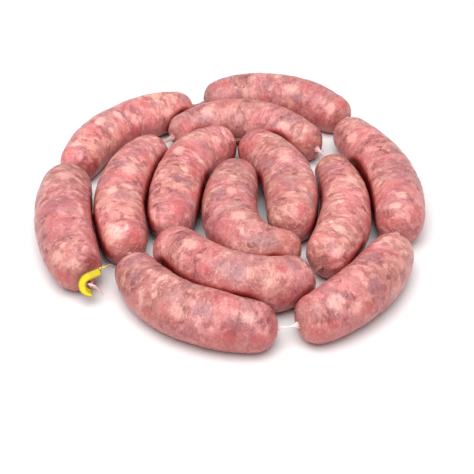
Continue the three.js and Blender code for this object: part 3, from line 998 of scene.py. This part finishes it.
def casing_material():
    """Bare casing: pale, thin and half see-through, with painted shade in its folds."""
    nodes = Nodes("bare twisted casing")
    colour = nodes.ramp(nodes.attribute("folds"), CASING_COLOURS)
    stained = nodes.sharpened(nodes.noise(2.5 * MM, 2.0), 0.45, 0.7)
    colour = nodes.covered(colour, stained, 0.4, STAINED_CASING)
    colour = nodes.covered(colour, nodes.attribute("filled"), 0.75, MEAT_IN_CASING)
    colour = nodes.mixed(nodes.attribute("dry"), colour, seen(WHITE_CASING))
    # Painted shade, dark red, on twists that lie far down between the links.
    colour = nodes.mixed(nodes.attribute("neck_shade"), colour, seen(CASING_SHADE_RED))
    colour = nodes.mixed(nodes.attribute("tinted"), colour, seen(YELLOW_CASING))
    nodes.link(colour, nodes.shader.inputs["Base Color"])
    moist = nodes.sharpened(nodes.noise(1.5 * MM), 0.3, 0.7, 0.45, 0.25)
    nodes.link(moist, nodes.shader.inputs["Roughness"])
    nodes.link(nodes.bumped(nodes.noise(0.5 * MM, 3.0), 0.15 * MM, 0.7), nodes.shader.inputs["Normal"])
    shader = nodes.shader.inputs
    shader["Subsurface Weight"].default_value = 0.5
    shader["Subsurface Radius"].default_value = (1.0, 0.6, 0.45)
    shader["Subsurface Scale"].default_value = 1.5 * MM
    shader["Coat Weight"].default_value = 0.3
    shader["Coat Roughness"].default_value = 0.15
    return nodes.material


def plastic_material():
    """Bright yellow moulded plastic, a little greasy from handling."""
    nodes = Nodes("yellow moulded plastic")
    grease = nodes.sharpened(nodes.noise(3 * MM, 3.0), 0.4, 0.65)
    colour = nodes.covered(seen(YELLOW), grease, 0.35, GREASY_YELLOW)
    # Painted shade: the straight arm is a darker, greener yellow.
    arm = nodes.sharpened(nodes.attribute("on_arm"), 0.0, 0.3, 0.0, 0.7)
    colour = nodes.mixed(arm, colour, seen(ARM_SHADE_YELLOW))
    # Painted shade, olive, at the band's edges and in its hollow.
    painted_edge_shade = nodes.sharpened(nodes.attribute("painted_edge_shade"), 0.25, 1.0, 0.0, 0.75)
    colour = nodes.mixed(painted_edge_shade, colour, seen(EDGE_SHADE_YELLOW))
    # Painted shade on the walls behind the front face.
    behind = nodes.sharpened(nodes.attribute("behind"), 0.01, 0.2, 0.0, 0.92)
    colour = nodes.mixed(behind, colour, seen(SHADED_YELLOW))
    nodes.link(colour, nodes.shader.inputs["Base Color"])
    nodes.link(nodes.sharpened(grease, 0.0, 1.0, 0.26, 0.42), nodes.shader.inputs["Roughness"])
    nodes.link(nodes.bumped(nodes.noise(0.7 * MM, 2.0), 0.05 * MM, 0.6), nodes.shader.inputs["Normal"])
    shader = nodes.shader.inputs
    shader["Subsurface Weight"].default_value = 0.1
    shader["Subsurface Radius"].default_value = (1.0, 0.9, 0.2)
    shader["Subsurface Scale"].default_value = 1 * MM
    shader["Coat Weight"].default_value = 0.25
    shader["Coat Roughness"].default_value = 0.1
    return nodes.material


def floor_material():
    """A plain pale table."""
    nodes = Nodes("pale table")
    nodes.shader.inputs["Base Color"].default_value = (0.78, 0.78, 0.78, 1)
    nodes.shader.inputs["Roughness"].default_value = 0.6
    return nodes.material


# The set.

def add_floor():
    bpy.ops.mesh.primitive_plane_add(size=FLOOR_SIZE)
    floor = bpy.context.object
    floor.name = "floor"
    floor.data.materials.append(floor_material())


def aimed(thing, place, target):
    thing.location = place
    thing.rotation_euler = (Vector(target) - Vector(place)).to_track_quat("-Z", "Y").to_euler()


def add_softbox():
    data = bpy.data.lights.new("softbox", "AREA")
    data.shape = "DISK"
    data.size = SOFTBOX_SIZE
    data.energy = SOFTBOX_POWER
    light = bpy.data.objects.new("softbox", data)
    bpy.context.collection.objects.link(light)
    aimed(light, SOFTBOX_PLACE, (0, 0, 0))


def add_studio():
    """Even white light from all round."""
    world = bpy.data.worlds.new("studio")
    world.use_nodes = True
    background = world.node_tree.nodes["Background"].inputs
    background["Color"].default_value = (1, 1, 1, 1)
    background["Strength"].default_value = STUDIO_LIGHT
    bpy.context.scene.world = world


def add_camera():
    data = bpy.data.cameras.new("camera")
    data.sensor_width = CAMERA_SENSOR
    data.lens = CAMERA_LENS
    camera = bpy.data.objects.new("camera", data)
    bpy.context.collection.objects.link(camera)
    aimed(camera, CAMERA_PLACE, CAMERA_TARGET)
    bpy.context.scene.camera = camera


# The string, piece by piece.

MEAT = meat_material()
CASING = casing_material()
PLASTIC = plastic_material()


def measured_line(name, near):
    """The middle line of a link between the middles of its round ends, and its radius."""
    solid = merged_solid(name)
    line = middle_line(solid, near)
    radius = ring_radius(solid, line)
    bpy.data.objects.remove(solid)
    tip_reach = END_MIDDLES * radius
    inner = [place for place in line
             if (place - line[0]).length > tip_reach and (place - line[-1]).length > tip_reach]
    return np.array(inner), radius


def add_links():
    ends = [centre_of("clip")] + [centre_of(name) for name in TWIST_NAMES]
    link_lines = {name: measured_line(name, end) for name, end in zip(LINK_NAMES, ends)}
    textures = [lump_texture(size, index) for index, (size, _) in enumerate(LUMPS)]
    master = straight_link()
    for index, name in enumerate(LINK_NAMES):
        lay_link(master, name, index, textures, link_lines)
    bpy.data.objects.remove(master)


def add_casing():
    first = centre_of(LINK_NAMES[0])
    last = centre_of(LINK_NAMES[-1])
    neck = straight_neck()
    for link_name, name in zip(LINK_NAMES, TWIST_NAMES):
        lay_casing(neck, name, centre_of(link_name), neck_profile(name), NECK_PLEATS, NECK_OVERLAP)
    lay_casing(neck, "end_knot", last, knot_profile, NECK_PLEATS, NECK_OVERLAP)
    lay_casing(neck, "tail_short", first, short_tail_profile, TAIL_PLEATS, 0)
    lay_casing(neck, "tail_long", centre_of("clip"), long_tail_profile, TAIL_PLEATS, 0)
    bpy.data.objects.remove(neck)


add_links()
add_casing()
add_clip()

add_floor()
add_softbox()
add_studio()
add_camera()
bpy.context.scene.view_settings.view_transform = "Standard"
